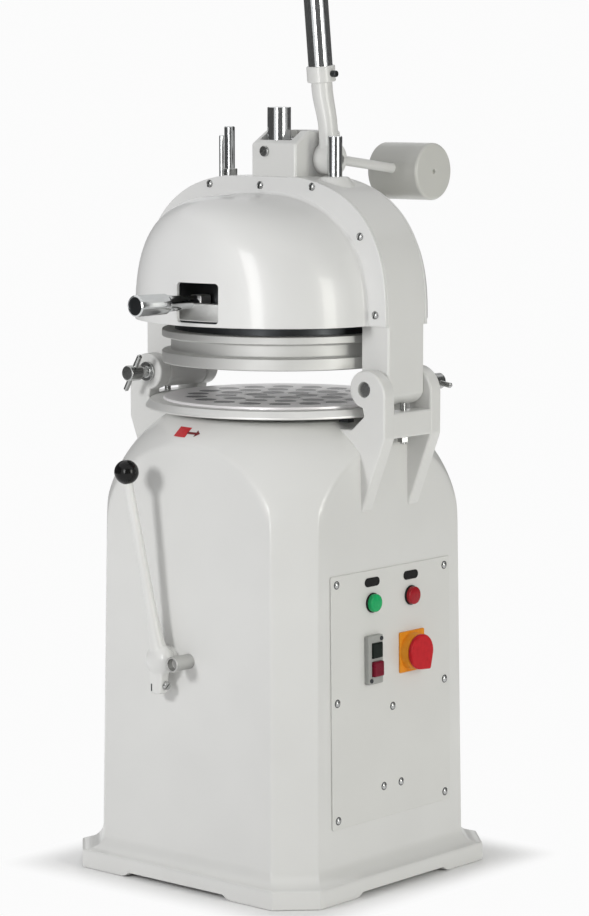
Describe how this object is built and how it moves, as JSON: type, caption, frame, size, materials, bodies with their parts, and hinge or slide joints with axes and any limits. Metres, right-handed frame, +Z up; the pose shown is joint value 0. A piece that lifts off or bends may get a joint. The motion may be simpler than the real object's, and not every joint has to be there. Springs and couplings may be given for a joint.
{
  "type": "divider rounder",
  "caption": "Floor-standing bakery dough divider rounder with a cast stand, orbiting rounding table, swing-up press head, knife grid and counterweighted press lever",
  "frame": {"origin": "on the floor under the middle of the rounding table, at the centre of the four floor bolt holes", "axes": "+Z up, the operator stands on the -Y side, the control panel is on the +X side"},
  "size_m": [0.63, 0.6927, 1.9828],
  "materials": {
    "enamel": "glossy off-white enamel on cast iron",
    "panel_enamel": "light grey enamel on sheet steel",
    "chrome": "bright chrome plate",
    "steel": "machined steel",
    "dark_steel": "dark painted steel",
    "casting": "bare machined casting",
    "aluminium": "turned aluminium",
    "bronze": "plain bronze",
    "black_plastic": "glossy black plastic",
    "green_lens": "clear green lens",
    "red_lens": "clear red lens",
    "grey_plastic": "grey moulded plastic",
    "dark_green_plastic": "dark green button",
    "dark_red_plastic": "dark red button",
    "yellow_plastic": "yellow plate",
    "red_plastic": "red handle",
    "white_plastic": "white food-grade plastic",
    "belt_rubber": "black belt rubber"
  },
  "bodies": {
    "stand": {"pedestal": "enamel", "side_brackets": "enamel", "control_panel": "panel_enamel", "panel_screws": "steel", "green_lamp": "green_lens", "red_lamp": "red_lens", "label_tags": "black_plastic", "switch_case": "grey_plastic", "switch_plate": "yellow_plastic", "stop_pin": "steel", "lever_bush": "bronze", "bearing_housing": "casting", "shaft_bearings": "steel", "motor": "casting", "motor_mount": "casting", "v_belt": "belt_rubber", "adjusting_screws": "steel"},
    "shaft": {"main_shaft": "steel", "crank_head": "casting", "main_pulley": "casting"},
    "eccentric": {"eccentric_slider": "steel"},
    "table": {"rounding_table": "aluminium", "table_bearing": "steel", "rounding_plate": "white_plastic", "stop_block_piece": "dark_steel"},
    "rotor": {"motor_pulley": "casting"},
    "rounding_handle": {"lever_arm": "enamel", "ball_knob": "black_plastic", "lever_shaft": "steel", "clamp_screw": "steel", "crank_arm": "casting"},
    "left_tee": {"left_tee_screw": "chrome"},
    "right_tee": {"right_tee_screw": "chrome"},
    "head": {"head_yoke": "enamel", "front_cover": "enamel", "rear_cover": "enamel", "cover_screws": "steel", "rack_block": "casting", "block_plug": "steel", "guide_collar": "chrome", "pinion_bushes": "bronze"},
    "press_handle": {"press_arm": "chrome", "lever_collar": "chrome", "lever_tube": "chrome", "lever_grip": "black_plastic", "weight_rod": "steel", "counterweight": "chrome", "pinion_shaft": "steel"},
    "press": {"plunger": "chrome", "press_plate": "casting", "cutting_ring": "aluminium", "press_drum": "dark_steel", "guide_rods": "chrome", "press_pads": "white_plastic"},
    "knives": {"knife_grid": "steel"},
    "lock": {"lock_ring": "steel", "lock_handle": "black_plastic"},
    "start": {"start_button": "dark_green_plastic"},
    "stop": {"stop_button": "dark_red_plastic"},
    "switch": {"switch_handle": "red_plastic"}
  },
  "joints": [
    {"name": "head_swing", "type": "hinge", "parent": "stand", "child": "head", "pos_m": [0.268, 0, 0.9235], "axis": [0, 1, 0], "range_deg": [0, 55]},
    {"name": "press_lever", "type": "hinge", "parent": "head", "child": "press_handle", "pos_m": [0.0925, 0.032, 1.332], "axis": [1, 0, 0], "range_deg": [0, 91]},
    {"name": "press_stroke", "type": "slide", "parent": "head", "child": "press", "axis": [0, 0, -1], "range_m": [0, 0.06353]},
    {"name": "knife_stroke", "type": "slide", "parent": "press", "child": "knives", "axis": [0, 0, -1], "range_m": [0, 0.012]},
    {"name": "lock_turn", "type": "hinge", "parent": "head", "child": "lock", "pos_m": [0, 0, 1.053], "axis": [0, 0, 1], "range_deg": [0, 13.5]},
    {"name": "left_tee_turn", "type": "hinge", "parent": "stand", "child": "left_tee", "pos_m": [-0.268, -0.12, 0.9235], "axis": [0, 1, 0], "continuous": true},
    {"name": "right_tee_turn", "type": "hinge", "parent": "stand", "child": "right_tee", "pos_m": [0.268, 0.12, 0.9235], "axis": [0, 1, 0], "continuous": true},
    {"name": "rounding_lever", "type": "hinge", "parent": "stand", "child": "rounding_handle", "pos_m": [-0.0435, -0.289, 0.421], "axis": [0, 1, 0], "range_deg": [0, 62]},
    {"name": "main_drive", "type": "hinge", "parent": "stand", "child": "shaft", "pos_m": [0, 0, 0.7], "axis": [0, 0, 1], "continuous": true},
    {"name": "orbit_throw", "type": "slide", "parent": "shaft", "child": "eccentric", "axis": [1, 0, 0], "range_m": [0, 0.008]},
    {"name": "table_turn", "type": "hinge", "parent": "eccentric", "child": "table", "pos_m": [0, 0, 0.878], "axis": [0, 0, 1], "continuous": true},
    {"name": "motor_turn", "type": "hinge", "parent": "stand", "child": "rotor", "pos_m": [-0.15, 0.06, 0.6], "axis": [0, 0, 1], "continuous": true},
    {"name": "main_switch", "type": "hinge", "parent": "stand", "child": "switch", "pos_m": [0.26873, 0.056, 0.42803], "axis": [0.9999, 0, 0.0128], "range_deg": [0, 90]},
    {"name": "start_push", "type": "slide", "parent": "stand", "child": "start", "axis": [-0.9999, 0, -0.0128], "range_m": [0, 0.003], "stiffness_N_per_m": 400},
    {"name": "stop_push", "type": "slide", "parent": "stand", "child": "stop", "axis": [-0.9999, 0, -0.0128], "range_m": [0, 0.003], "stiffness_N_per_m": 400}
  ],
  "couplings": [
    {"joint": "press_stroke", "follows": "press_lever", "m_per_rad": 0.04},
    {"joint": "knife_stroke", "follows": "press_lever", "m_per_rad": 0.0075555},
    {"joint": "orbit_throw", "follows": "rounding_lever", "m_per_rad": 0.007393},
    {"joint": "table_turn", "follows": "main_drive", "ratio": -1},
    {"joint": "motor_turn", "follows": "main_drive", "ratio": 2.778}
  ]
}
